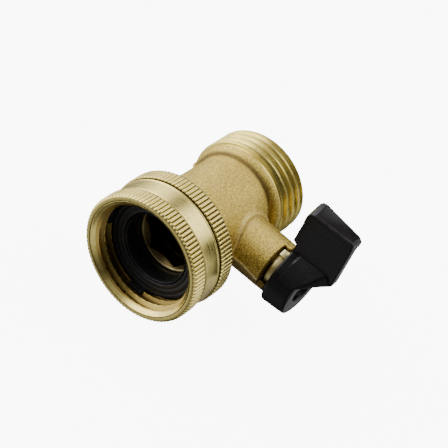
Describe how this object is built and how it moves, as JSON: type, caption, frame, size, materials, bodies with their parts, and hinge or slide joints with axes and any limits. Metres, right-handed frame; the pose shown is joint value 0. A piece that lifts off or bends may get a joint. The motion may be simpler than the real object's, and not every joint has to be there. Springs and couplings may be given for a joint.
{
  "type": "garden hose shut-off valve",
  "caption": "Brass garden hose shut-off valve with a knurled swivel nut inlet, a male threaded outlet and a lever handle that turns a ball through a quarter turn.",
  "frame": {"origin": "centre of the swivel nut's mouth, in the plane of its front rim", "axes": "+Y along the flow from inlet to outlet, +X along the stem towards the handle, +Z the way the lever points with the valve closed"},
  "size_m": [0.0502, 0.0464, 0.0372],
  "materials": {
    "brass_cast": "bead blasted satin",
    "brass_turned": "turned, bright",
    "brass_knurled": "turned and knurled, bright",
    "brass_collar": "turned",
    "stem_brass": "turned",
    "ball_chrome": "polished",
    "screw_steel": "plated",
    "handle_plastic": "moulded, semi-matte",
    "washer_rubber": "moulded, semi-matte",
    "o_ring_rubber": "smooth",
    "ptfe": "smooth, waxy"
  },
  "bodies": {
    "valve": {"valve_body": "brass_cast", "inlet_tailpiece": "brass_turned", "tailpiece_o_ring": "o_ring_rubber", "upstream_seat": "ptfe", "downstream_seat": "ptfe"},
    "nut": {"swivel_nut": "brass_knurled", "hose_washer": "washer_rubber"},
    "stem": {"ball": "ball_chrome", "stem": "stem_brass", "stem_thrust_washer": "ptfe", "stem_o_ring_inner": "o_ring_rubber", "stem_o_ring_outer": "o_ring_rubber", "stop_collar": "brass_collar", "handle": "handle_plastic", "handle_screw": "screw_steel", "screw_lock_washer": "screw_steel"}
  },
  "joints": [
    {"name": "nut_swivel", "type": "hinge", "parent": "valve", "child": "nut", "pos_m": [0, 0.007, 0], "axis": [0, 1, 0], "continuous": true},
    {"name": "stem_turn", "type": "hinge", "parent": "valve", "child": "stem", "pos_m": [0, 0.0274, 0], "axis": [1, 0, 0], "range_deg": [0, 90]}
  ]
}
